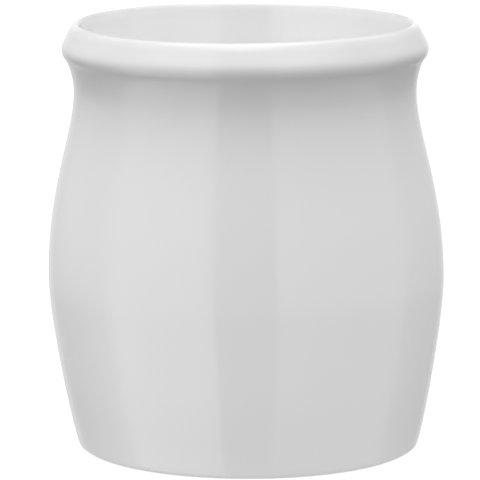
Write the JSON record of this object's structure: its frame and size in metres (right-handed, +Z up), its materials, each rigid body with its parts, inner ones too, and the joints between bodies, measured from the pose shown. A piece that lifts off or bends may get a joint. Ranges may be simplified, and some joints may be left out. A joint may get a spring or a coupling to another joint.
{
  "type": "pen cup",
  "caption": "Round white glazed porcelain pen cup with a rolled rim, narrow neck, full belly and a raised foot ring, standing on stick-on silicone pads.",
  "frame": {"origin": "on the desk plane, under the cup's axis", "axes": "+Z up along the cup's axis of revolution, -Y towards the user, +X to the user's right"},
  "size_m": [0.0926, 0.0926, 0.1005],
  "materials": {
    "white_glaze": "high-gloss white glaze inside and out, bare matt biscuit on the foot ring's land",
    "clear_silicone": "satin translucent silicone"
  },
  "bodies": {
    "root": {"cup_body": "white_glaze", "foot_pad_front_left": "clear_silicone", "foot_pad_front_right": "clear_silicone", "foot_pad_rear_left": "clear_silicone", "foot_pad_rear_right": "clear_silicone"}
  },
  "joints": []
}
